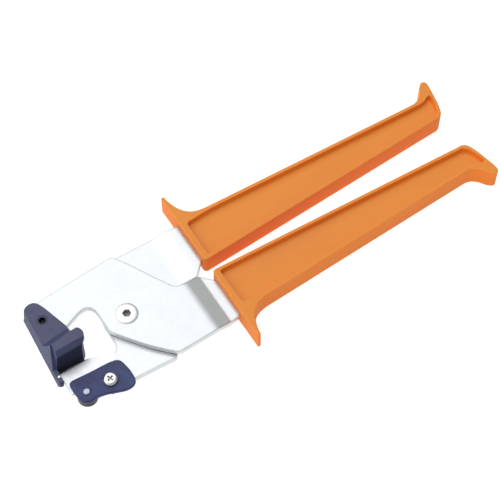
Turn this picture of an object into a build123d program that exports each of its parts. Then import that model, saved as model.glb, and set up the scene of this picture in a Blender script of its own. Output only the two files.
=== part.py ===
from build123d import *
import os
import math

# Nibbler pliers: two identical stamped steel levers, one turned over, joined by
# one pivot. Millimetres. Origin on the pivot axis, in the plane of the bench the
# tool lies on. +X runs from the jaws to the handle ends, +Y is the side of the
# fixed handle, +Z is the side the clamp plate and the anvil block are screwed on.
# Everything is drawn about the middle plane between the levers and lifted by
# LIFT when it is written.

# ---------------------------------------------------------------- shared sizes
PLATE_T = 3.5            # lever plate thickness
LEVER_GAP = 0.30         # space between the two levers, filled by the shim
INNER_Z = LEVER_GAP / 2          # inner face of the upper lever
OUTER_Z = INNER_Z + PLATE_T      # outer face of the upper lever
LOWER_OUTER_Z = -OUTER_Z         # outer face of the lower lever
GRIP_HALF_T = 6.7        # handle half thickness
LIFT = GRIP_HALF_T       # the handle rims lie on the bench

PIVOT = (0, 0)
PIVOT_R = 4.2            # barrel of the pivot nut, which both levers turn on
PIVOT_RUN = 0.05         # radial running clearance at the pivot
AXIAL_PLAY = 0.05        # axial play on each side of the moving lever

CLAMP_SCREW = (-25.3, -27.1)
CLAMP_SCREW_R = 2.0
RIVET = (-38.5, -26.5)
RIVET_R = 1.5
BUSH_R = 5.2
ANVIL_SCREW = (-38.6, 17.9)
ANVIL_SCREW_R = 2.0
DOWELS = [(-41.0, 11.5), (-40.6, 24.2)]
DOWEL_R = 1.25
SCREW_CLEAR = 0.1        # radial clearance of the screw holes
SEAT_CLEAR = 0.15        # of washer holes, bush seats and the counterbore
NUT_AF = 7.0             # across flats of the two screw nuts

CUT_Z = 20               # cutters reach this far above and below the middle plane
FAR = 60                 # reach of long cutting prisms along X and Y


# ---------------------------------------------------------------- helpers
def extruded(plane, points, amount):
    """A straight prism on a closed outline drawn on `plane`."""
    with BuildPart() as part:
        with BuildSketch(plane):
            with BuildLine():
                Polyline(*points, close=True)
            make_face()
        extrude(amount=amount)
    return part.part


def prism(points, z0, z1):
    return extruded(Plane.XY.offset(z0), points, z1 - z0)


def yz_prism(points, x0, x1):
    return extruded(Plane.YZ.offset(x0), points, x1 - x0)


def xz_prism(points, y0, y1):
    return extruded(Plane.XZ.offset(-y1), points, y1 - y0)


def rounded_face(points, reach):
    """Face on a closed outline whose corners are arcs, each reaching at most
    `reach` along its two sides and never more than 0.45 of a side."""
    count = len(points)
    corners = []         # arc start, arc middle (None if left sharp), arc end
    for i in range(count):
        before = Vector(*points[i - 1], 0)
        corner = Vector(*points[i], 0)
        after = Vector(*points[(i + 1) % count], 0)
        way_in, way_out = corner - before, after - corner
        length_in, length_out = way_in.length, way_out.length
        way_in, way_out = way_in / length_in, way_out / length_out
        turn = math.acos(max(-1.0, min(1.0, way_in.dot(way_out))))
        if turn < math.radians(0.7):
            corners.append((corner, None, corner))
            continue
        trim = min(reach, 0.45 * length_in, 0.45 * length_out)
        radius = trim / math.tan(turn / 2)
        middle = corner + (way_out - way_in).normalized() * (radius / math.cos(turn / 2) - radius)
        corners.append((corner - way_in * trim, middle, corner + way_out * trim))
    with BuildSketch() as sketch:
        with BuildLine():
            for i, (start, middle, end) in enumerate(corners):
                if middle is not None:
                    ThreePointArc(start, middle, end)
                Line(end, corners[(i + 1) % count][0])
        make_face()
    return sketch.sketch


def rounded_prism(points, z0, z1, reach):
    return Pos(0, 0, z0) * extrude(rounded_face(points, reach), amount=z1 - z0)


def standing_box(x_size, y_size, z_size):
    return Box(x_size, y_size, z_size, align=(Align.CENTER, Align.CENTER, Align.MIN))


def disc(at, radius, z0, z1):
    align = (Align.CENTER, Align.CENTER, Align.MIN)
    return Pos(*at, z0) * Cylinder(radius, z1 - z0, align=align)


def bore(at, radius):
    """Cutter for a hole right through."""
    return disc(at, radius, -CUT_Z, CUT_Z)


def ring(at, radius, hole_r, z0, z1):
    return disc(at, radius, z0, z1) - bore(at, hole_r)


def edges_at_z(shape, z):
    return [e for e in shape.edges() if abs(e.center().Z - z) < 1e-3]


def rounded_disc(at, radius, z0, z1, edge_z, edge_r):
    """A disc whose rim at height edge_z is rounded."""
    body = disc(at, radius, z0, z1)
    return fillet(edges_at_z(body, edge_z), edge_r)


def polar(at, radius, degrees):
    angle = math.radians(degrees)
    return (at[0] + radius * math.cos(angle), at[1] + radius * math.sin(angle))


def hexagon(at, across_flats, z0, z1, turn):
    corner_r = across_flats / math.sqrt(3.0)
    return prism([polar(at, corner_r, 60 * k + turn) for k in range(6)], z0, z1)


def turned(shape):
    """The same piece turned half a turn about the tool's long axis."""
    return Rotation(180, 0, 0) * shape


# ---------------------------------------------------------------- lever plates
JOGGLE_X0 = 33.5         # the tang leaves the lever plane here
JOGGLE_X1 = 42.4         # and runs on in the middle plane from here
JOGGLE_TOP_SHIFT = 0.35  # the upper face bends this much further along X
JOGGLE_EASY_R = 20.0     # bend radius where the tang leaves the lever plane
JOGGLE_TIGHT_R = 6.0     # bend radius where it reaches the middle plane
TANG_T = 3.5
TANG_END = 152.0         # end of the tang inside the handle
TANG_HOLES = [(70.0, -17.6), (100.0, -17.5), (132.0, -17.7)]
TANG_HOLE_R = 3.2
LEVER_CORNER_REACH = 3.0

# Plan outline (x, y) of the lever that carries the anvil block: jaw arm at +Y,
# tang at -Y.
LEVER_OUTLINE = [
    (-44.4, 26.0), (-41.6, 28.3), (-35.2, 29.8), (-15.8, 31.4), (2.4, 32.3),
    (8.6, 32.8), (10.3, 32.1),
    (15.7, 23.3), (21.3, 12.7), (26.6, 3.3),
    (28.3, 0.8), (30.1, -0.3), (32.0, -0.8), (34.5, -1.0), (37.3, -0.85),
    (39.3, -0.45), (40.6, -0.15), (41.5, -0.35),
    (42.7, -1.1), (44.2, -2.5), (45.6, -3.95), (46.7, -5.2), (48.9, -7.0), (52.0, -8.2),
    (60.0, -8.6), (120.0, -11.4), (TANG_END - 2.0, -13.2),
    (TANG_END, -15.0), (TANG_END, -20.4), (TANG_END - 2.0, -22.2),
    (120.0, -23.6), (60.0, -26.2), (52.0, -27.6),
    (49.0, -30.6), (46.0, -31.2), (37.0, -32.0), (14.0, -32.6),
    (12.6, -32.7), (11.0, -32.3),
    (7.8, -29.2), (0.7, -21.7), (-5.9, -13.1), (-11.7, -5.1),
    (-12.4, -3.6), (-12.5, 2.0), (-12.5, 8.5), (-12.8, 10.6),
    (-13.8, 12.6), (-15.4, 13.8), (-17.5, 14.1), (-19.6, 13.8), (-21.5, 13.2),
    (-26.0, 11.4), (-30.0, 9.9), (-34.0, 9.0), (-44.9, 9.0),
]

# Corner (x, y) cut off the lower lever's arm around the bush seat.
SEAT_CORNER = [
    (-50, -40), (RIVET[0] + 3.2, -40), (RIVET[0] + 3.2, RIVET[1] - 2.2), RIVET,
    (-42.9, -23.4), (-43.9, -21.6), (-50, -21.0),
]


def joggled_strip():
    """Strip with a flat plate, an S-bend and a flat tang in the middle plane."""
    half_tang = TANG_T / 2
    top_x0 = JOGGLE_X0 + JOGGLE_TOP_SHIFT
    top_x1 = JOGGLE_X1 + JOGGLE_TOP_SHIFT
    section = [
        (-FAR, INNER_Z), (JOGGLE_X0, INNER_Z), (JOGGLE_X1, -half_tang),
        (TANG_END + 10, -half_tang), (TANG_END + 10, half_tang),
        (top_x1, half_tang), (top_x0, OUTER_Z), (-FAR, OUTER_Z),
    ]
    bends = [            # x, z, radius
        (top_x0, OUTER_Z, JOGGLE_EASY_R),
        (JOGGLE_X0, INNER_Z, JOGGLE_EASY_R - PLATE_T),
        (top_x1, half_tang, JOGGLE_TIGHT_R),
        (JOGGLE_X1, -half_tang, JOGGLE_TIGHT_R + PLATE_T),
    ]
    with BuildPart() as strip:
        with BuildSketch(Plane.XZ.offset(FAR)):
            with BuildLine():
                Polyline(*section, close=True)
            make_face()
        extrude(amount=-2 * FAR)
        for x, z, radius in bends:
            fillet([e for e in strip.edges().filter_by(Axis.Y)
                    if abs(e.center().X - x) < 0.05 and abs(e.center().Z - z) < 0.05], radius)
    return strip.part


def lever_blank():
    plate = joggled_strip() & rounded_prism(LEVER_OUTLINE, -CUT_Z, CUT_Z, LEVER_CORNER_REACH)
    plate -= bore(PIVOT, PIVOT_R + PIVOT_RUN)
    # holes in the tang, filled by the handle moulding
    for hole in TANG_HOLES:
        plate -= bore(hole, TANG_HOLE_R)
    return plate


def make_upper_lever(blank):
    plate = blank - bore(ANVIL_SCREW, ANVIL_SCREW_R + SCREW_CLEAR)
    for dowel in DOWELS:
        plate = plate - bore(dowel, DOWEL_R)
    return plate


def make_lower_lever(blank):
    plate = turned(blank) - bore(CLAMP_SCREW, CLAMP_SCREW_R + SCREW_CLEAR)
    # round seat for the bush at the arm's -X, -Y corner
    plate = plate - bore(RIVET, BUSH_R + SEAT_CLEAR)
    return plate - prism(SEAT_CORNER, -CUT_Z, CUT_Z)


# ---------------------------------------------------------------- handles
GRIP_FRONT_X = 48.6      # end of the handle towards the jaws
GRIP_TRAY_D = 2.9        # depth of the recessed tray in each face
GRIP_TRAY_DRAFT = 10.0   # draft of the tray's walls, degrees
GRIP_TRAY_CORNER_R = 0.7
GRIP_EDGE_R = 0.6
GRIP_TAPER = (1, -0.042)  # direction of the long outer edge

# Curves (x, y) of the +Y handle: guard at the jaw end, hook at the far end.
GUARD_CURVE = [
    (50.55, 46.6), (51.35, 42.3), (52.95, 38.1), (55.4, 34.5), (59.0, 31.9),
    (63.7, 30.7), (70.0, 30.3),
]
HOOK_OUTER_CURVE = [(191.5, 25.2), (197.1, 25.6), (200.4, 27.7), (203.0, 31.1), (205.2, 33.4)]
HOOK_END_CURVE = [(209.15, 32.3), (208.5, 27.2), (207.4, 22.1), (206.2, 17.0), (204.9, 13.4)]

# Tray opening (x, y) at the rim: it leaves the guard and the hook's tip solid.
TRAY_RIM = [
    (51.9, 5.7), (52.3, 26.9), (54.0, 27.7), (66.0, 28.35), (74.0, 28.15), (192.0, 23.2),
    (197.6, 23.1), (201.0, 23.5), (203.4, 24.7), (204.9, 25.3), (206.2, 24.4),
    (205.6, 21.4), (204.4, 17.4), (203.0, 14.2), (200.6, 12.1), (53.2, 5.4),
]


def grip_face():
    """Plan of the handle on the +Y side."""
    guard_foot, guard_tip = (GRIP_FRONT_X, 5.95), (GRIP_FRONT_X, 46.4)
    inner_far, inner_near = (199.4, 10.2), (50.4, 3.45)
    with BuildSketch() as sketch:
        with BuildLine():
            Line(guard_foot, guard_tip)
            ThreePointArc(guard_tip, (49.55, 47.6), GUARD_CURVE[0])
            Spline(*GUARD_CURVE, tangents=[(0.05, -1), GRIP_TAPER])
            Line(GUARD_CURVE[-1], HOOK_OUTER_CURVE[0])
            Spline(*HOOK_OUTER_CURVE, tangents=[GRIP_TAPER, (0.78, 0.62)])
            ThreePointArc(HOOK_OUTER_CURVE[-1], (207.6, 34.25), HOOK_END_CURVE[0])
            Spline(*HOOK_END_CURVE, tangents=[(0.0, -1), (-0.38, -0.92)])
            ThreePointArc(HOOK_END_CURVE[-1], (203.0, 11.0), inner_far)
            Line(inner_far, inner_near)
            ThreePointArc(inner_near, (49.1, 4.25), guard_foot)
        make_face()
    return sketch.sketch


def tray(rim_z):
    """Cutter for one tray, wider at the rim than at the floor."""
    rim = Polygon(*TRAY_RIM, align=None)
    rim = fillet(rim.vertices(), GRIP_TRAY_CORNER_R)
    floor = offset(rim, amount=-GRIP_TRAY_D * math.tan(math.radians(GRIP_TRAY_DRAFT)))
    rim_face = Pos(0, 0, rim_z) * rim
    if rim_z > 0:
        return loft([Pos(0, 0, rim_z - GRIP_TRAY_D) * floor, rim_face]) \
            + extrude(rim_face, amount=1)
    return loft([rim_face, Pos(0, 0, rim_z + GRIP_TRAY_D) * floor]) \
        + Pos(0, 0, -1) * extrude(rim_face, amount=1)


def make_grip_blank():
    body = Pos(0, 0, -GRIP_HALF_T) * extrude(grip_face(), amount=2 * GRIP_HALF_T)
    rims = [e for e in body.edges() if abs(abs(e.center().Z) - GRIP_HALF_T) < 1e-3]
    body = fillet(rims, GRIP_EDGE_R)
    return body - tray(GRIP_HALF_T) - tray(-GRIP_HALF_T)


# ---------------------------------------------------------------- blade side
BLADE_T = 1.2
CLAMP_T = 2.0
BLADE_Z = -INNER_Z               # the blade lies on the lower lever's face
CLAMP_Z = BLADE_Z + BLADE_T      # the clamp plate lies on the blade
CLAMP_TOP = CLAMP_Z + CLAMP_T
CLAMP_EDGE_BEVEL = 0.45
BUSH_LOBE_R = 5.5                # clamp plate's lobe over the bush

BLADE_EDGE_Y = -9.6
BLADE_BEVEL = 0.7
BLADE_OUTLINE = [        # x, y
    (-44.9, BLADE_EDGE_Y), (-30.0, BLADE_EDGE_Y), (-25.0, -11.2), (-20.0, -13.3),
    (-16.2, -14.4), (-16.2, -23.0), (-44.9, -23.0),
]
CLAMP_OUTLINE = [        # x, y
    (-43.9, -18.3), (-43.0, -17.4), (-41.5, -17.1), (-31.4, -17.8), (-21.6, -18.1),
    (-17.9, -18.7), (-16.2, -19.7), (-15.2, -21.5), (-14.2, -27.3), (-14.3, -32.5),
    (-15.1, -34.5), (-17.0, -35.8), (-19.4, -36.1), (-22.0, -35.7), (-24.7, -34.7),
    (-30.1, -32.6), (-33.0, -31.8),
    *[polar(RIVET, BUSH_LOBE_R, -64 - 86 * i / 8) for i in range(9)],
    (-43.9, -25.2), (-44.0, -21.0),
]

CLAMP_HEAD_R = 3.7
CLAMP_HEAD_H = 2.0
CLAMP_HEAD_EDGE_R = 1.3
CLAMP_SCREW_PROUD = 0.3          # screw end beyond the nut
CLAMP_WASHER_R = 4.4
CLAMP_WASHER_T = 0.5
CLAMP_NUT_H = 2.2
CLAMP_WASHER_FACE = LOWER_OUTER_Z - CLAMP_WASHER_T
CLAMP_NUT_FACE = CLAMP_WASHER_FACE - CLAMP_NUT_H
RECESS_D = 1.4                   # cross recess in the clamp screw's head
RECESS_LENGTH = 3.6
RECESS_WIDTH = 0.9
RECESS_TURN = 20

RIVET_HEAD_R = 1.9
RIVET_HEAD_H = 0.9
RIVET_TAIL_R = 2.3
RIVET_TAIL_H = 0.8
RIVET_WASHER_R = 4.0
RIVET_WASHER_T = 0.8
RIVET_WASHER_FACE = LOWER_OUTER_Z - RIVET_WASHER_T


def make_blade():
    blade = prism(BLADE_OUTLINE, BLADE_Z, CLAMP_Z)
    cutting_edges = [e for e in edges_at_z(blade, CLAMP_Z)
                     if abs(e.center().Y - BLADE_EDGE_Y) < 0.05]
    blade = chamfer(cutting_edges, BLADE_BEVEL)
    return blade - bore(RIVET, BUSH_R + SEAT_CLEAR) \
        - bore(CLAMP_SCREW, CLAMP_SCREW_R + SCREW_CLEAR)


def make_clamp_plate():
    plate = rounded_prism(CLAMP_OUTLINE, CLAMP_Z, CLAMP_TOP, 1.2)
    plate = chamfer(edges_at_z(plate, CLAMP_TOP), CLAMP_EDGE_BEVEL)
    return plate - bore(CLAMP_SCREW, CLAMP_SCREW_R + SCREW_CLEAR) - bore(RIVET, RIVET_R)


def make_clamp_screw():
    head_top = CLAMP_TOP + CLAMP_HEAD_H
    head = rounded_disc(CLAMP_SCREW, CLAMP_HEAD_R, CLAMP_TOP, head_top,
                        head_top, CLAMP_HEAD_EDGE_R)
    screw = head + disc(CLAMP_SCREW, CLAMP_SCREW_R,
                        CLAMP_NUT_FACE - CLAMP_SCREW_PROUD, CLAMP_TOP + 0.5)
    slots = [Pos(*CLAMP_SCREW, head_top - RECESS_D) * Rot(0, 0, turn)
             * standing_box(RECESS_LENGTH, RECESS_WIDTH, RECESS_D + 1)
             for turn in (RECESS_TURN, RECESS_TURN + 90)]
    return screw - (slots[0] + slots[1])


def make_clamp_nut():
    return hexagon(CLAMP_SCREW, NUT_AF, CLAMP_NUT_FACE, CLAMP_WASHER_FACE, 12) \
        - bore(CLAMP_SCREW, CLAMP_SCREW_R)


def make_rivet():
    head_top = CLAMP_TOP + RIVET_HEAD_H
    tail_end = RIVET_WASHER_FACE - RIVET_TAIL_H
    head = rounded_disc(RIVET, RIVET_HEAD_R, CLAMP_TOP, head_top, head_top, 0.6)
    tail = rounded_disc(RIVET, RIVET_TAIL_R, tail_end, RIVET_WASHER_FACE, tail_end, 0.5)
    return head + tail + disc(RIVET, RIVET_R, LOWER_OUTER_Z - 1.0, CLAMP_TOP + 0.2)


# ---------------------------------------------------------------- anvil block
# Cast block: arm on the lever with a lip over the lever's -X end, a steep ramp up
# to an upstanding wall, sloped brow and nearly upright -Y face. At the -X end the
# wall is set in, and a low nose runs on towards -Y past the blade's end.
ARM_T = 3.5              # arm thickness
ARM_TOP = OUTER_Z + ARM_T
WALL_TOP = 16.4
WALL_STEP_Z = 12.0       # the wall's plan changes here
NOSE_TOP = 3.34
BLOCK_BOTTOM = -3.6
BACK_Y = 8.9             # the block's lower part stops just short of the lever arm
CORNER_REACH = 1.2
END_POINT = (-47.45, 2.0, 0.0)   # on the parting line of the -X end face
END_SKEW = 2.8 / 40.8    # the end face runs out to -X per unit towards -Y
DRAFT = 0.25             # lean of the end face per unit of height
UNDER_DRAFT = 0.33       # its lean the other way below the parting line
RAMP_TURN = 6.0          # the ramp runs at this angle to the long axis, degrees
RAMP_RUN = 6.6           # its length across
RAMP_AT = (-38.0, -0.2)  # a point on its upper edge
RAMP_STEPS = 10
SETBACK_X = -45.4        # -X end of the wall's main part, at height SETBACK_Z
SETBACK_Z = 2
SETBACK_LEAN = 0.18

WALL_SECTION = [         # y, z
    (BACK_Y, BLOCK_BOTTOM), (BACK_Y, 20.0), (-4.9, 20.0), (-4.9, WALL_TOP),
    (-7.0, 13.3), (-8.75, 0.0), (-8.9, BLOCK_BOTTOM),
]
END_SECTION = [          # y, z of the set-in wall and the nose
    (BACK_Y, BLOCK_BOTTOM), (BACK_Y, 20.0), (-0.8, 20.0), (-0.8, WALL_TOP), (-7.7, 3.6),
    (-8.2, 3.4), (-15.2, 3.3), (-16.1, 2.6), (-16.5, 1.4), (-16.5, -0.2), (-10.4, -0.8),
    (-8.9, BLOCK_BOTTOM),
]
WALL_LOW_PLAN = [        # x, y below the step
    (-60, 12), (-31.2, 12), (-30.3, 2.4), (-28.9, 1.4), (-27.8, 0.0), (-27.3, -2.2),
    (-27.4, -4.4), (-28.1, -5.9), (-29.2, -7.0), (-30.2, -8.2), (-30.6, -12), (-60, -12),
]
WALL_TOP_PLAN = [        # x, y above the step
    (-60, 12), (-31.0, 12), (-30.3, 2.0), (-28.7, 1.5), (-27.2, 0.7), (-26.2, -0.6),
    (-25.8, -2.4), (-26.1, -4.2), (-27.7, -5.9), (-29.4, -7.2), (-30.6, -12), (-60, -12),
]
ARM_PLAN = [             # x, y
    (-60, 26.5), (-44.6, 26.6), (-43.4, 28.2), (-41.6, 29.2), (-39.4, 29.5),
    (-37.5, 29.0), (-36.2, 27.8), (-35.2, 25.8), (-34.1, 23.0), (-31.7, 15.0),
    (-29.9, 9.1), (-29.4, 5.0), (-60, 5.0),
]
LIP_PLAN = [(-60, BACK_Y - 0.4), (-45.0, BACK_Y - 0.4), (-44.5, 26.2), (-60, 26.2)]
NOSE_TIP_CUT = [         # x, y of what is cut away around the tip
    (-60, -12.0), (-49.3, -12.0), (-49.0, -13.8), (-48.4, -15.2), (-47.4, -16.1),
    (-46.4, -16.3), (-45.4, -15.9), (-44.0, -15.9), (-44.0, -25), (-60, -25),
]

ANVIL_HEAD_R = 2.6
ANVIL_SOCKET_AF = 3.4
ANVIL_SOCKET_D = 2.6     # below the arm's top
COUNTERBORE_D = 2.2
ANVIL_WASHER_R = 4.3
ANVIL_WASHER_FACE = INNER_Z - 0.7
ANVIL_NUT_FACE = ANVIL_WASHER_FACE - 3.2
ANVIL_SCREW_PROUD = 0.5  # screw end beyond the nut
DOWEL_RISE = 1.9         # dowels stand this far into the block
NOSE_PIN = (-46.1, -12.2)
NOSE_PIN_R = 0.8
NOSE_PIN_D = 3.0         # depth of the pin in the nose
NOSE_PIN_PROUD = 0.25


def ramp_envelope():
    """Everything under the arm's top, the ramp and the wall's top."""
    ramp = []
    for i in range(RAMP_STEPS + 1):
        t = i / RAMP_STEPS
        ramp.append((RAMP_RUN * (1 - t), ARM_TOP + (WALL_TOP - ARM_TOP) * t ** 1.3))
    base_z = BLOCK_BOTTOM - 1
    outline = [(40.0, base_z), (40.0, ARM_TOP)] + ramp + [(-40.0, WALL_TOP), (-40.0, base_z)]
    return Pos(*RAMP_AT, 0) * Rot(0, 0, RAMP_TURN) * yz_prism(outline, -40, 40)


def beside_setback(far_x):
    """The space between the leaning setback plane and far_x."""
    low, high = [(SETBACK_X + SETBACK_LEAN * (z - SETBACK_Z), z) for z in (-10, 30)]
    return xz_prism([low, high, (far_x, 30), (far_x, -10)], -FAR, FAR)


def wall_and_nose():
    wall = yz_prism(WALL_SECTION, -FAR, -20)
    wall = wall & (rounded_prism(WALL_LOW_PLAN, -CUT_Z, WALL_STEP_Z + 0.2, CORNER_REACH)
                   + rounded_prism(WALL_TOP_PLAN, WALL_STEP_Z, 30, CORNER_REACH))
    end = yz_prism(END_SECTION, -FAR, -41.5)
    return (wall & beside_setback(0)) + (end & beside_setback(-FAR))


def make_anvil_block():
    envelope = ramp_envelope()
    block = wall_and_nose() & envelope
    arm = rounded_prism(ARM_PLAN, OUTER_Z, ARM_TOP, CORNER_REACH) & envelope
    block = block + arm + prism(LIP_PLAN, INNER_Z, OUTER_Z + 0.5)
    # the end face leans in both above and below the parting line
    along = Vector(-END_SKEW, -1.0, 0).normalized()
    for lean in (DRAFT, -UNDER_DRAFT):
        normal = along.cross(Vector(lean, 0, 1.0).normalized()).normalized()
        if normal.X > 0:
            normal = normal * -1
        end_plane = Plane(origin=Vector(*END_POINT), x_dir=along, z_dir=normal)
        block = block - end_plane * standing_box(140.0, 140.0, 60.0)
    block = block - prism(NOSE_TIP_CUT, -CUT_Z, 30)
    # screw hole with counterbore, dowel holes, nose pin hole
    block = block - bore(ANVIL_SCREW, ANVIL_SCREW_R + SCREW_CLEAR) \
        - disc(ANVIL_SCREW, ANVIL_HEAD_R + SEAT_CLEAR, ARM_TOP - COUNTERBORE_D, CUT_Z)
    for dowel in DOWELS:
        block = block - disc(dowel, DOWEL_R, OUTER_Z - 1, OUTER_Z + DOWEL_RISE + 0.1)
    return block - disc(NOSE_PIN, NOSE_PIN_R, NOSE_TOP - NOSE_PIN_D, CUT_Z)


def make_anvil_screw():
    screw = disc(ANVIL_SCREW, ANVIL_HEAD_R, ARM_TOP - COUNTERBORE_D, ARM_TOP - 0.25) \
        + disc(ANVIL_SCREW, ANVIL_SCREW_R, ANVIL_NUT_FACE - ANVIL_SCREW_PROUD, ARM_TOP - 1.0)
    return screw - hexagon(ANVIL_SCREW, ANVIL_SOCKET_AF,
                           ARM_TOP - ANVIL_SOCKET_D, ARM_TOP + 2, 10)


def make_anvil_nut():
    return hexagon(ANVIL_SCREW, NUT_AF, ANVIL_NUT_FACE, ANVIL_WASHER_FACE, 8) \
        - bore(ANVIL_SCREW, ANVIL_SCREW_R)


def make_dowels():
    return Compound(children=[disc(dowel, DOWEL_R, INNER_Z, OUTER_Z + DOWEL_RISE)
                              for dowel in DOWELS])


def make_nose_pin():
    top = NOSE_TOP + NOSE_PIN_PROUD
    return rounded_disc(NOSE_PIN, NOSE_PIN_R, NOSE_TOP - NOSE_PIN_D, top, top, 0.2)


# ---------------------------------------------------------------- pivot
# A barrel nut goes up through both levers; the flat head of the pivot screw
# closes on the barrel's end, so the levers keep their play.
THREAD_R = 3.0
HEAD_R = 5.9
HEAD_H = 0.6             # low dome
HEAD_RIM_H = 0.15        # upright rim below the dome
HEAD_FLAT_R = 4.3        # flat part of the head around the socket
SOCKET_AF = 4.0
SOCKET_D = 3.1
HEAD_Z = OUTER_Z + AXIAL_PLAY    # underside of the head, top of the barrel
TAIL_HEAD_R = 6.4
TAIL_HEAD_EDGE_R = 0.8
TAIL_WASHER_R = 7.2
TAIL_WASHER_T = 0.8
TAIL_FACE = LOWER_OUTER_Z - TAIL_WASHER_T
SHIM_R = 9.0


def make_pivot_screw():
    rim_z, top_z = HEAD_Z + HEAD_RIM_H, HEAD_Z + HEAD_H
    dome_middle = ((HEAD_R + HEAD_FLAT_R) / 2 + 0.12, rim_z + (HEAD_H - HEAD_RIM_H) * 0.62)
    with BuildPart() as head:
        with BuildSketch(Plane.XZ):
            with BuildLine():
                Polyline((0, HEAD_Z), (HEAD_R, HEAD_Z), (HEAD_R, rim_z))
                ThreePointArc((HEAD_R, rim_z), dome_middle, (HEAD_FLAT_R, top_z))
                Polyline((HEAD_FLAT_R, top_z), (0, top_z), (0, HEAD_Z))
            make_face()
        revolve(axis=Axis.Z)
    screw = head.part + disc(PIVOT, THREAD_R, TAIL_FACE + 1.4, HEAD_Z + 0.3)
    return screw - hexagon(PIVOT, SOCKET_AF, top_z - SOCKET_D, HEAD_Z + 10, 30)


def make_barrel_nut():
    nut = rounded_disc(PIVOT, TAIL_HEAD_R, -LIFT, TAIL_FACE, -LIFT, TAIL_HEAD_EDGE_R)
    nut = nut + disc(PIVOT, PIVOT_R, TAIL_FACE - 0.3, HEAD_Z)
    return nut - disc(PIVOT, THREAD_R, TAIL_FACE + 0.5, CUT_Z)


# ---------------------------------------------------------------- all pieces
blank = lever_blank()
upper_lever = make_upper_lever(blank)
lower_lever = make_lower_lever(blank)
grip_blank = make_grip_blank()

NODES = {
    "lower_lever_plate": lower_lever,
    "upper_grip": grip_blank - lower_lever,
    "cutting_blade": make_blade(),
    "blade_clamp_plate": make_clamp_plate(),
    "clamp_screw": make_clamp_screw(),
    "clamp_screw_washer": ring(CLAMP_SCREW, CLAMP_WASHER_R, CLAMP_SCREW_R + SEAT_CLEAR,
                               CLAMP_WASHER_FACE, LOWER_OUTER_Z),
    "clamp_screw_nut": make_clamp_nut(),
    "front_rivet": make_rivet(),
    # between the clamp plate's lobe and the rivet washer
    "front_bush": ring(RIVET, BUSH_R, RIVET_R, LOWER_OUTER_Z, CLAMP_Z),
    "front_rivet_washer": ring(RIVET, RIVET_WASHER_R, RIVET_R,
                               RIVET_WASHER_FACE, LOWER_OUTER_Z),
    "pivot_screw": make_pivot_screw(),
    "pivot_shim_washer": ring(PIVOT, SHIM_R, PIVOT_R + 0.02, -INNER_Z, INNER_Z - AXIAL_PLAY),
    "pivot_tail_washer": ring(PIVOT, TAIL_WASHER_R, PIVOT_R + 0.1, TAIL_FACE, LOWER_OUTER_Z),
    "pivot_barrel_nut": make_barrel_nut(),
    "upper_lever_plate": upper_lever,
    "lower_grip": turned(grip_blank) - upper_lever,
    "anvil_jaw_block": make_anvil_block(),
    "anvil_screw": make_anvil_screw(),
    "anvil_screw_washer": ring(ANVIL_SCREW, ANVIL_WASHER_R, ANVIL_SCREW_R + SEAT_CLEAR,
                               ANVIL_WASHER_FACE, INNER_Z),
    "anvil_screw_nut": make_anvil_nut(),
    "anvil_dowel_pins": make_dowels(),
    "nose_pin": make_nose_pin(),
}

os.makedirs("parts", exist_ok=True)
for name, shape in NODES.items():
    export_step(Pos(0, 0, LIFT) * shape, os.path.join("parts", name + ".step"))
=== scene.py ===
"""Hand cutting tool, lying flat on a white studio floor.

Z is up. The levers lie level, the pivot screw stands on the Z axis and the camera looks
down from the -X, -Y side. Lengths are in metres.
"""
import math
import random

import bpy
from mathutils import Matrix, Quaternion, Vector


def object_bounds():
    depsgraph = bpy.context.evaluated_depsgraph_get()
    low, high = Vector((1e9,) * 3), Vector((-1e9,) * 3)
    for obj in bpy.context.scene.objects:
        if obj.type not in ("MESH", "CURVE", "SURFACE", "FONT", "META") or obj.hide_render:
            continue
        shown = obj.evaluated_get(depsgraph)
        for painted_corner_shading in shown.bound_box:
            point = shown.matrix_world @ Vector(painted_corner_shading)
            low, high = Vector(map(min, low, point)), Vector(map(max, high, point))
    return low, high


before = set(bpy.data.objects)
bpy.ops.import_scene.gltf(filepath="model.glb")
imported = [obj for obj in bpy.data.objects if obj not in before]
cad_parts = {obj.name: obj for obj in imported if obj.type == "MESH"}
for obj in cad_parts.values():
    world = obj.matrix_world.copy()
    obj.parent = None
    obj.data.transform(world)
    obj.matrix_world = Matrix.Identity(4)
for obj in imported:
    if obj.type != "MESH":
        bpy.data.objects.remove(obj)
cad_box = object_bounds()
random.seed(7)

LIFT = 0.0067  # middle plane of the levers above the bench

# Drive recesses: (x, y) of the centre, radius, height of the mouth
CROSS_RECESS = ((-0.0253, -0.0271), 0.0023, LIFT + 0.0048)
PIVOT_RECESS = ((0.0, 0.0), 0.0026, LIFT + 0.0041)
RECESS_FADE = 0.0006  # depth over which the painted recess shade sets in
# Drive of the anvil screw: (x, y) of the centre, radius
ANVIL_DRIVE = ((-0.0386, 0.0179), 0.0021)
DRIVE_FADE = 0.0002

# Rounded corners: (width, segments)
ROUNDS = {
    "lower_lever_plate": (0.00050, 3),
    "upper_lever_plate": (0.00050, 3),
    "upper_grip": (0.00028, 2),
    "lower_grip": (0.00028, 2),
    "anvil_jaw_block": (0.00035, 3),
    "blade_clamp_plate": (0.00015, 2),
    "cutting_blade": (0.00006, 1),
    "clamp_screw": (0.00008, 2),
    "clamp_screw_nut": (0.00015, 2),
    "anvil_screw_nut": (0.00015, 2),
    "pivot_screw": (0.00012, 2),
    "front_bush": (0.0002, 2),
}
WELD_DISTANCE = 2e-6
FLAT_ANGLE = math.radians(0.6)    # faces closer than this are merged
CORNER_ANGLE = math.radians(28)   # edges sharper than this are rounded

FLOOR_HALF = 6.0
FLOOR_GAP = 0.00005    # floor below the lowest point of the tool
FLOOR_GLOW = 0.80      # light the white floor sends up onto the tool
FLOOR_GLOSS = 0.55     # how bright it looks in reflections
FLOOR_SEEN = 0.89      # how bright it looks to the camera

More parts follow.
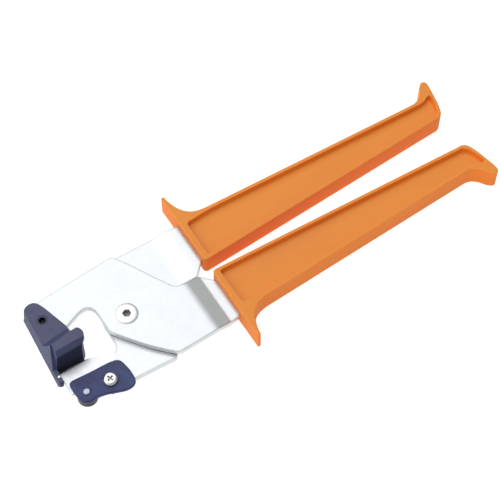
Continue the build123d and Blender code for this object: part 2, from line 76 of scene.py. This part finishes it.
DOME_LEVEL = 0.50
DOME_COLOUR = (0.985, 0.995, 1.0)
# Soft lobes on the dome: direction, outer and inner half angle in degrees, added light
LOBES = [
    ((-0.06, 0.46, 0.885), 36, 24, 1.75),   # large soft box overhead, towards +Y
    ((-0.92, 0.10, 0.38), 55, 20, 0.75),    # fill from -X
    ((0.85, 0.25, 0.40), 60, 15, -0.12),    # darker towards +X
]

CAMERA_DISTANCE = 0.850
CAMERA_AZIMUTH = math.radians(-32.7)
CAMERA_ELEVATION = math.radians(61.0)
CAMERA_ROLL = math.radians(0.225)
CAMERA_TARGET = Vector((0.0735, -0.00104, LIFT))
CAMERA_SHIFT = (-0.0006, 0.0010)  # keeps the jaws in place despite the roll
VIEW_WIDTH = 0.260     # width seen at the target
SENSOR_WIDTH = 36.0    # millimetres


# ------------------------------------------------------------------ node helpers
class Graph:
    """Builds nodes in a shader tree."""

    def __init__(self, tree):
        self.tree = tree
        self.sources = {}

    def fill(self, socket, value):
        """Links a socket or stores a value; a colour may leave out its alpha."""
        if isinstance(value, bpy.types.NodeSocket):
            self.tree.links.new(value, socket)
        elif socket.type == "RGBA" and len(value) == 3:
            socket.default_value = (*value, 1.0)
        else:
            socket.default_value = value

    def add(self, kind, inputs=None, **settings):
        """Adds a node and returns its outputs."""
        node = self.tree.nodes.new("ShaderNode" + kind)
        for key, value in settings.items():
            setattr(node, key, value)
        for key, value in (inputs or {}).items():
            self.fill(node.inputs[key], value)
        return node.outputs

    def source(self, kind, output):
        """Output of a node without inputs, made once and shared."""
        if kind not in self.sources:
            self.sources[kind] = self.add(kind)
        return self.sources[kind][output]

    def math(self, operation, *operands):
        return self.add("Math", dict(enumerate(operands)), operation=operation)[0]

    def plus(self, first, second):
        return self.math("ADD", first, second)

    def times(self, first, by):
        return self.math("MULTIPLY", first, by)

    def dot(self, first, second):
        return self.add("VectorMath", {0: first, 1: second}, operation="DOT_PRODUCT")["Value"]

    def span(self, value, over=(0.3, 0.7), to=(0.0, 1.0), **settings):
        """Maps the range `over` to the range `to`, clamped."""
        inputs = {
            "From Min": over[0], "From Max": over[1],
            "To Min": to[0], "To Max": to[1],
            "Value": value,
        }
        return self.add("MapRange", inputs, **settings)[0]


class Material(Graph):
    """A principled material; `offset` moves all its textures."""

    def __init__(self, name, offset=(0, 0, 0)):
        self.material = bpy.data.materials.new(name)
        self.material.use_nodes = True
        super().__init__(self.material.node_tree)
        self.tree.nodes.clear()
        self.offset = offset
        output = self.tree.nodes.new("ShaderNodeOutputMaterial")
        self.principled = self.tree.nodes.new("ShaderNodeBsdfPrincipled")
        self.fill(output.inputs[0], self.principled.outputs[0])

    def set(self, name, value):
        self.fill(self.principled.inputs[name], value)

    def place(self):
        return self.source("TexCoord", "Object")

    def normal(self):
        return self.source("NewGeometry", "True Normal")

    def coords(self, stretch=(1, 1, 1), turn=0):
        """Object coordinates scaled by `stretch` and turned about Z."""
        inputs = {
            "Scale": stretch, "Rotation": (0, 0, turn),
            "Location": self.offset, "Vector": self.place(),
        }
        return self.add("Mapping", inputs)[0]

    def noise(self, scale, detail, roughness, **mapping):
        inputs = {
            "Scale": scale, "Detail": detail, "Roughness": roughness,
            "Vector": self.coords(**mapping),
        }
        return self.add("TexNoise", inputs)["Fac"]

    def ramp(self, value, stops):
        """Colour ramp; each stop is (position, colour)."""
        node = self.tree.nodes.new("ShaderNodeValToRGB")
        elements = node.color_ramp.elements
        while len(elements) < len(stops):
            elements.new(0.5)
        for element, (position, colour) in zip(elements, stops):
            element.position = position
            element.color = (*colour, 1.0)
        self.fill(node.inputs[0], value)
        return node.outputs[0]

    def mix(self, under, over, amount):
        return self.add("Mix", {0: amount, 6: under, 7: over}, data_type="RGBA")[2]

    def bump(self, height, strength, distance, onto=None):
        inputs = {"Strength": strength, "Distance": distance, "Height": height}
        if onto is not None:
            inputs["Normal"] = onto
        return self.add("Bump", inputs)[0]

    def edge(self, radius):
        """0 on flat faces, towards 1 at corners, from the rounded-corner normal."""
        rounded = self.add("Bevel", {"Radius": radius}, samples=4)[0]
        return self.span(self.dot(rounded, self.normal()), over=(1.0, 0.80))

    def split(self, vector):
        return self.add("SeparateXYZ", {0: vector})

    def level(self):
        """1 on level tops and undersides, 0 on upright sides."""
        return self.math("ABSOLUTE", self.split(self.normal())[2])

    def slope_band(self, rise, fall, peak=1.0):
        """Faces at a slope: fades in over `rise` and out over `fall` of level()."""
        inner = self.span(self.level(), over=rise)
        return self.times(inner, by=self.span(self.level(), over=fall, to=(peak, 0.0)))

    def from_axis(self, centre):
        """Distance from an upright axis, and the height."""
        x, y, z = self.split(self.place())
        across = self.math("SUBTRACT", x, centre[0])
        along = self.math("SUBTRACT", y, centre[1])
        squares = self.plus(self.times(across, by=across), self.times(along, by=along))
        return self.math("SQRT", squares), z


# ------------------------------------------------------------------ materials
def zinc_plate(name, seed):
    """Punched sheet: bright zinc on the rolled faces, banded sheared edges, with painted
    light and shade on the slopes, corners and sides.
    """
    mat = Material(name, offset=(seed, seed * 0.7, 0))
    cloud = mat.noise(scale=55.0, detail=4.0, roughness=0.6)
    spangle = mat.noise(scale=420.0, detail=2.0, roughness=0.55)
    rolling = mat.noise(scale=2600.0, detail=3.0, roughness=0.7,
                        stretch=(0.05, 1.0, 1.0), turn=0.03)
    scuff = mat.noise(scale=900.0, detail=6.0, roughness=0.75,
                      stretch=(0.10, 1.0, 1.0), turn=-0.45)
    scuff = mat.span(scuff, over=(0.66, 0.80))
    shear = mat.noise(scale=1500.0, detail=3.0, roughness=0.6, stretch=(1.0, 1.0, 0.12))

    # level faces: spangle, scuffs, painted light on shallow slopes, painted shade on
    # rolled-over corners and steep slopes
    face = mat.ramp(cloud, stops=[
        (0.30, (0.470, 0.484, 0.500)),
        (0.55, (0.500, 0.513, 0.527)),
        (0.75, (0.525, 0.537, 0.548)),
    ])
    spangled = mat.span(spangle, over=(0.35, 0.65), to=(0.0, 0.10))
    face = mat.mix(face, over=(0.57, 0.585, 0.605), amount=spangled)
    face = mat.mix(face, over=(0.40, 0.41, 0.43), amount=mat.times(scuff, by=0.35))
    # painted shade: the rolled-over corners are darkened in the colour
    painted_corner_shading = mat.edge(radius=0.0014)
    # painted light: shallow slopes are lightened in the colour
    painted_slope_light = mat.slope_band(rise=(0.80, 0.86), fall=(0.981, 0.989))
    face = mat.mix(face, over=(0.575, 0.600, 0.590), amount=painted_slope_light)
    face = mat.mix(face, over=(0.20, 0.212, 0.220), amount=mat.times(painted_corner_shading, by=0.95))
    # painted shade: steep slopes are darkened in the colour
    painted_steep_shade = mat.slope_band(rise=(0.45, 0.60), fall=(0.76, 0.84), peak=0.8)
    face = mat.mix(face, over=(0.20, 0.21, 0.22), amount=painted_steep_shade)

    # sheared edges: real shear banding, plus a brighter base that is painted light on the
    # sides
    side_with_painted_light = mat.ramp(shear, stops=[
        (0.30, (0.820, 0.845, 0.850)),
        (0.70, (0.930, 0.950, 0.955)),
    ])
    flat = mat.span(mat.level(), over=(0.35, 0.62))
    mat.set("Base Color", mat.mix(side_with_painted_light, over=face, amount=flat))
    mat.set("Metallic", 1.0)
    rough = mat.plus(mat.span(rolling, to=(0.26, 0.36)), mat.span(cloud, to=(-0.03, 0.05)))
    side_rough = mat.span(flat, over=(0.0, 1.0), to=(0.16, 0.0))
    mat.set("Roughness", mat.plus(rough, side_rough))

    rolled = mat.bump(rolling, strength=0.10, distance=0.00003)
    clouded = mat.bump(cloud, strength=0.10, distance=0.0004, onto=rolled)
    sheared = mat.bump(shear, strength=0.22, distance=0.00006, onto=clouded)
    normals = mat.add("Mix", {0: flat, 4: sheared, 5: clouded}, data_type="VECTOR")
    mat.set("Normal", normals[1])
    return mat.material


def moulded_orange(name, seed):
    """Moulded grip: fine grain, slight flow clouding, paler corners from a painted highlight,
    painted light on the sides and slopes.
    """
    mat = Material(name, offset=(seed, -seed, 0))
    grain = mat.noise(scale=5200.0, detail=2.0, roughness=0.5)
    pebble = mat.add("TexVoronoi", {"Scale": 3400.0, "Vector": mat.coords()},
                     feature="SMOOTH_F1")["Distance"]
    flow = mat.noise(scale=45.0, detail=4.0, roughness=0.6, stretch=(0.25, 1, 1))
    patches = mat.noise(scale=120.0, detail=5.0, roughness=0.65)

    top = mat.ramp(flow, stops=[
        (0.30, (0.725, 0.224, 0.0205)),
        (0.50, (0.760, 0.243, 0.0235)),
        (0.72, (0.790, 0.262, 0.0285)),
    ])
    # painted light: the sides get a redder, brighter copy of the top colour
    side_with_painted_light = mat.ramp(flow, stops=[
        (0.30, (0.840, 0.206, 0.0225)),
        (0.50, (0.870, 0.221, 0.0250)),
        (0.72, (0.900, 0.238, 0.0290)),
    ])
    upright = mat.span(mat.level(), over=(0.15, 0.75), to=(1.0, 0.0))
    base = mat.mix(top, over=side_with_painted_light, amount=upright)
    speckle = mat.span(grain, over=(0.25, 0.75), to=(0.0, 0.12))
    base = mat.mix(base, over=(0.84, 0.29, 0.045), amount=speckle)
    # painted highlight: paler corners, in patches
    highlight_patches = mat.span(patches, over=(0.42, 0.62), to=(0.15, 0.6))
    corner_highlight = mat.times(mat.edge(radius=0.0006), by=highlight_patches)
    base = mat.mix(base, over=(0.87, 0.30, 0.070), amount=corner_highlight)
    # painted light: sloped faces get a brighter orange
    painted_corner_shading = mat.slope_band(rise=(0.22, 0.40), fall=(0.90, 0.98), peak=0.55)
    mat.set("Base Color", mat.mix(base, over=(0.96, 0.31, 0.052), amount=painted_corner_shading))

    polish = mat.times(corner_highlight, by=0.10)
    mat.set("Roughness", mat.math("SUBTRACT", mat.span(flow, to=(0.40, 0.50)), polish))
    mat.set("IOR", 1.46)
    mat.set("Specular IOR Level", mat.span(mat.level(), over=(0.3, 0.8), to=(0.10, 0.42)))
    mat.set("Subsurface Weight", 0.06)
    mat.set("Subsurface Radius", (0.0016, 0.0005, 0.0002))
    mat.set("Subsurface Scale", 1.0)
    height = mat.plus(mat.times(grain, by=0.6), pebble)
    mat.set("Normal", mat.bump(height, strength=0.22, distance=0.00005))
    return mat.material


def paint_throat_shade(mat, base, casting):
    """Painted shade: a dark band low on the faces that look to -Y, darkest at the bottom and
    towards -X.
    """
    normal_y = mat.split(mat.normal())[1]
    x, _, z = mat.split(mat.place())
    facing = mat.span(normal_y, over=(-0.93, -0.985))
    low = mat.span(z, over=(LIFT + 0.0142, LIFT + 0.0118))
    bottom = mat.span(z, over=(LIFT + 0.0110, LIFT + 0.0020))
    outer = mat.span(x, over=(-0.0330, -0.0420), to=(0.45, 1.0))
    throat_shade = mat.mix((0.0135, 0.0150, 0.0480), over=(0.0050, 0.0080, 0.0170),
                    amount=mat.times(bottom, by=outer))
    mottle = mat.span(casting, over=(0.35, 0.70), to=(0.0, 0.35))
    throat_shade = mat.mix(throat_shade, over=(0.019, 0.022, 0.052), amount=mottle)
    shade_band = mat.times(mat.times(facing, by=low), by=0.95)
    mat.set("Specular IOR Level", mat.span(shade_band, over=(0.0, 0.95), to=(0.5, 0.16)))
    return mat.mix(base, over=throat_shade, amount=shade_band)


def navy_enamel(name, seed, rub, stops, throat=False):
    """Baked enamel: faint orange peel, rubbed and chipped at corners."""
    mat = Material(name, offset=(seed, seed * 0.3, seed))
    peel = mat.noise(scale=1500.0, detail=2.0, roughness=0.5)
    casting = mat.noise(scale=420.0, detail=4.0, roughness=0.6)
    cloud = mat.noise(scale=90.0, detail=4.0, roughness=0.6)
    chipping = mat.noise(scale=1300.0, detail=6.0, roughness=0.7)

    base = mat.ramp(cloud, stops=stops)
    edge = mat.edge(radius=0.00045)
    rubbed = mat.times(edge, by=mat.span(chipping, over=(0.40, 0.66), to=(0.1, rub)))
    base = mat.mix(base, over=(0.105, 0.115, 0.205), amount=rubbed)
    chips = mat.times(mat.span(edge, over=(0.35, 0.8)),
                      by=mat.span(chipping, over=(0.635, 0.665)))
    base = mat.mix(base, over=(0.33, 0.34, 0.36), amount=chips)
    # painted shade on the throat faces
    if throat:
        base = paint_throat_shade(mat, base, casting)
    else:
        mat.set("Specular IOR Level", 0.30)
    mat.set("Base Color", base)
    mat.set("Metallic", mat.times(chips, by=0.9))
    mat.set("Roughness", mat.span(casting, to=(0.36, 0.50)))
    mat.set("IOR", 1.52)
    cast = mat.bump(casting, strength=0.16, distance=0.00010)
    mat.set("Normal", mat.bump(peel, strength=0.10, distance=0.00004, onto=cast))
    return mat.material


def ground_steel(name, seed):
    """Hardened blade: bright, with fine grinding lines."""
    mat = Material(name, offset=(seed, seed, 0))
    lines = mat.noise(scale=4200.0, detail=3.0, roughness=0.7,
                      stretch=(1.0, 0.03, 1.0), turn=0.10)
    cloud = mat.noise(scale=160.0, detail=3.0, roughness=0.6)
    mat.set("Base Color", mat.ramp(cloud, stops=[
        (0.3, (0.50, 0.51, 0.53)),
        (0.7, (0.62, 0.63, 0.65)),
    ]))
    mat.set("Metallic", 1.0)
    mat.set("Roughness", mat.span(lines, to=(0.30, 0.42)))
    mat.set("Normal", mat.bump(lines, strength=0.14, distance=0.00003))
    return mat.material


def plated(name, seed, colour, rough, dull=(0.30, 0.31, 0.33), rub=0.6,
           recess=None, recess_shade=None):
    """Plated fastener with dull patches; a drive recess may get painted shade."""
    mat = Material(name, offset=(seed, -seed * 0.4, seed * 0.2))
    cloud = mat.noise(scale=700.0, detail=4.0, roughness=0.6)
    micro = mat.noise(scale=4500.0, detail=3.0, roughness=0.6)
    patches = mat.span(cloud, over=(0.42, 0.72), to=(0.0, rub))
    base = mat.mix(colour, over=dull, amount=patches)
    mat.set("Metallic", 1.0)
    if recess is not None:
        centre, radius, mouth = recess
        distance, height = mat.from_axis(centre)
        inside = mat.times(mat.math("LESS_THAN", distance, radius),
                           by=mat.span(height, over=(mouth, mouth - RECESS_FADE)))
        # painted shade: the drive recess is darkened in the colour
        base = mat.mix(base, over=recess_shade, amount=inside)
        mat.set("Metallic", mat.math("SUBTRACT", 1.0, mat.times(inside, by=0.95)))
    mat.set("Base Color", base)
    mat.set("Roughness", mat.plus(mat.span(cloud, to=rough),
                                  mat.span(micro, to=(-0.02, 0.03))))
    mat.set("Normal", mat.bump(micro, strength=0.10, distance=0.00003))
    return mat.material


def black_oxide(name, seed, drive=None, rim=None):
    """Blackened steel, rubbed at the corners; `rim` colours the head around the drive, and
    the drive is painted near black as shade.
    """
    mat = Material(name, offset=(seed, seed, seed))
    cloud = mat.noise(scale=600.0, detail=4.0, roughness=0.6)
    micro = mat.noise(scale=3800.0, detail=3.0, roughness=0.6, stretch=(1, 1, 0.2))
    rubbed = mat.times(mat.edge(radius=0.0003),
                       by=mat.span(micro, over=(0.4, 0.6), to=(0.0, 0.6)))
    if drive is None:
        base = mat.ramp(cloud, stops=[
            (0.3, (0.020, 0.021, 0.026)),
            (0.7, (0.036, 0.037, 0.044)),
        ])
    else:
        centre, radius = drive
        distance, _ = mat.from_axis(centre)
        inside = mat.span(distance, over=(radius, radius - DRIVE_FADE))
        # painted shade: the drive is near black
        base = mat.mix(rim, over=(0.006, 0.007, 0.008), amount=inside)
        rubbed = mat.times(rubbed, by=0.4)
    mat.set("Base Color", mat.mix(base, over=(0.16, 0.16, 0.17), amount=rubbed))
    mat.set("Metallic", 0.55)
    mat.set("Roughness", mat.span(cloud, to=(0.30, 0.42)))
    mat.set("Normal", mat.bump(micro, strength=0.12, distance=0.00003))
    return mat.material


zinc_upper = zinc_plate("zinc_plate_upper", seed=0.0)
zinc_lower = zinc_plate("zinc_plate_lower", seed=3.7)
orange_upper = moulded_orange("moulded_orange_upper", seed=0.4)
orange_lower = moulded_orange("moulded_orange_lower", seed=2.9)
navy_block = navy_enamel("navy_enamel_block", seed=1.3, rub=0.55, throat=True, stops=[
    (0.30, (0.030, 0.035, 0.098)),
    (0.55, (0.037, 0.043, 0.115)),
    (0.75, (0.046, 0.052, 0.132)),
])
# thinner coat on the pressed plate: bluer and less glossy
navy_clamp = navy_enamel("navy_enamel_clamp", seed=5.1, rub=0.45, stops=[
    (0.34, (0.024, 0.026, 0.098)),
    (0.50, (0.031, 0.038, 0.128)),
    (0.66, (0.038, 0.058, 0.165)),
])
blade_steel = ground_steel("ground_blade_steel", seed=0.9)
bright = plated("bright_plated", seed=1.1, colour=(0.66, 0.67, 0.68), rough=(0.16, 0.28))
bright_cross = plated("bright_plated_cross", seed=1.6, colour=(0.66, 0.67, 0.68),
                      rough=(0.16, 0.28), recess=CROSS_RECESS, recess_shade=(0.50, 0.49, 0.47))
bright_pivot = plated("bright_plated_pivot", seed=4.1, colour=(0.76, 0.77, 0.77),
                      rough=(0.40, 0.48), dull=(0.58, 0.59, 0.58), rub=0.4,
                      recess=PIVOT_RECESS, recess_shade=(0.36, 0.36, 0.35))
washer = plated("washer_zinc", seed=2.2, colour=(0.56, 0.57, 0.60), rough=(0.24, 0.38))
rivet = plated("rivet_steel", seed=3.3, colour=(0.29, 0.30, 0.39), rough=(0.22, 0.36),
               dull=(0.18, 0.18, 0.22), rub=0.4)
pin = plated("ground_pin", seed=6.1, colour=(0.42, 0.44, 0.50), rough=(0.18, 0.30),
             dull=(0.25, 0.26, 0.30), rub=0.4)
shim = plated("bronze_shim", seed=7.0, colour=(0.60, 0.40, 0.19), rough=(0.25, 0.40),
              dull=(0.36, 0.23, 0.12), rub=0.5)
black = black_oxide("black_oxide", seed=1.7)
black_screw = black_oxide("black_oxide_screw", seed=2.6, drive=ANVIL_DRIVE,
                          rim=(0.034, 0.040, 0.085))

# Piece: (material, slot)
FINISHES = {
    "lower_lever_plate": (zinc_lower, "zinc_lever_plate"),
    "upper_lever_plate": (zinc_upper, "zinc_lever_plate"),
    "upper_grip": (orange_upper, "orange_grip"),
    "lower_grip": (orange_lower, "orange_grip"),
    "cutting_blade": (blade_steel, "blade_steel"),
    "blade_clamp_plate": (navy_clamp, "navy_paint"),
    "anvil_jaw_block": (navy_block, "navy_paint"),
    "clamp_screw": (bright_cross, "bright_hardware"),
    "clamp_screw_washer": (washer, "washer_steel"),
    "clamp_screw_nut": (bright, "bright_hardware"),
    "front_rivet": (rivet, "rivet_steel"),
    "front_bush": (black, "black_hardware"),
    "front_rivet_washer": (washer, "washer_steel"),
    "pivot_screw": (bright_pivot, "bright_hardware"),
    "pivot_shim_washer": (shim, "bronze_shim"),
    "pivot_tail_washer": (washer, "washer_steel"),
    "pivot_barrel_nut": (bright_pivot, "bright_hardware"),
    "anvil_screw": (black_screw, "black_hardware"),
    "anvil_screw_washer": (washer, "washer_steel"),
    "anvil_screw_nut": (bright, "bright_hardware"),
    "anvil_dowel_pins": (pin, "dowel_steel"),
    "nose_pin": (pin, "dowel_steel"),
}


# ------------------------------------------------------------------ pieces
def soften(piece, width, segments):
    """Cleans the mesh and rounds its corners."""
    weld = piece.modifiers.new("weld", "WELD")
    weld.merge_threshold = WELD_DISTANCE
    faces = piece.modifiers.new("faces", "DECIMATE")
    faces.decimate_type = "DISSOLVE"
    faces.angle_limit = FLAT_ANGLE
    rounds = piece.modifiers.new("rounds", "BEVEL")
    rounds.width = width
    rounds.segments = segments
    rounds.limit_method = "ANGLE"
    rounds.angle_limit = CORNER_ANGLE
    rounds.use_clamp_overlap = True
    rounds.harden_normals = False
    rounds.miter_outer = "MITER_ARC"
    normals = piece.modifiers.new("normals", "WEIGHTED_NORMAL")
    normals.keep_sharp = True
    normals.weight = 50


for name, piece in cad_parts.items():
    material, slot = FINISHES[name]
    piece.data.materials.clear()
    piece.data.materials.append(material)
    if name in ROUNDS:
        soften(piece, *ROUNDS[name])


# ------------------------------------------------------------------ floor, light, camera
def floor_white():
    """White floor that glows differently for the camera, reflections and other rays."""
    mat = Material("floor_white")
    paper = mat.noise(scale=900.0, detail=3.0, roughness=0.6)
    seen = mat.source("LightPath", "Is Camera Ray")
    glossy = mat.source("LightPath", "Is Glossy Ray")
    hidden = mat.ramp(paper, stops=[(0.3, (0.34, 0.36, 0.36)), (0.7, (0.37, 0.39, 0.39))])
    shown = mat.ramp(paper, stops=[(0.3, (0.30, 0.30, 0.30)), (0.7, (0.33, 0.33, 0.33))])
    mat.set("Base Color", mat.mix(hidden, over=shown, amount=seen))
    mat.set("Roughness", 0.9)
    mat.set("Specular IOR Level", 0.1)
    mat.set("Emission Color", (1, 1, 1))
    bounce = mat.plus(FLOOR_GLOW, mat.times(glossy, by=FLOOR_GLOSS - FLOOR_GLOW))
    direct = mat.times(seen, by=FLOOR_SEEN - FLOOR_GLOW)
    mat.set("Emission Strength", mat.plus(bounce, direct))
    return mat.material


def build_floor():
    z = cad_box[0][2] - FLOOR_GAP
    corners = [(x * FLOOR_HALF, y * FLOOR_HALF, z)
               for x, y in ((-1, -1), (1, -1), (1, 1), (-1, 1))]
    mesh = bpy.data.meshes.new("floor")
    mesh.from_pydata(corners, [], [(0, 1, 2, 3)])
    floor = bpy.data.objects.new("floor", mesh)
    bpy.context.scene.collection.objects.link(floor)
    mesh.materials.append(floor_white())


def build_world():
    """White studio: an even dome with soft lobes of more or less light."""
    world = bpy.data.worlds.new("studio")
    bpy.context.scene.world = world
    world.use_nodes = True
    graph = Graph(world.node_tree)
    level = DOME_LEVEL
    for direction, outer, inner, amount in LOBES:
        ray = graph.add("VectorMath", {0: graph.source("TexCoord", "Generated")},
                        operation="NORMALIZE")[0]
        cosines = (math.cos(math.radians(outer)), math.cos(math.radians(inner)))
        lobe = graph.span(graph.dot(ray, Vector(direction).normalized()), over=cosines,
                          to=(0.0, amount), interpolation_type="SMOOTHSTEP")
        level = graph.plus(level, lobe)
    background = world.node_tree.nodes["Background"]
    graph.fill(background.inputs["Strength"], level)
    graph.fill(background.inputs["Color"], DOME_COLOUR)


def build_camera():
    lens = bpy.data.cameras.new("camera")
    lens.sensor_width = SENSOR_WIDTH
    lens.lens = SENSOR_WIDTH * CAMERA_DISTANCE / VIEW_WIDTH
    lens.shift_x, lens.shift_y = CAMERA_SHIFT
    lens.clip_start = 0.01
    reach = math.cos(CAMERA_ELEVATION)
    back = Vector((math.sin(CAMERA_AZIMUTH) * reach, -math.cos(CAMERA_AZIMUTH) * reach,
                   math.sin(CAMERA_ELEVATION)))
    aim = (-back).to_track_quat("-Z", "Y")
    camera = bpy.data.objects.new("camera", lens)
    camera.location = CAMERA_TARGET + back * CAMERA_DISTANCE
    camera.rotation_euler = (aim @ Quaternion((0.0, 0.0, 1.0), CAMERA_ROLL)).to_euler()
    bpy.context.scene.collection.objects.link(camera)
    bpy.context.scene.camera = camera


build_floor()
build_world()
build_camera()
bpy.context.scene.view_settings.view_transform = "Standard"
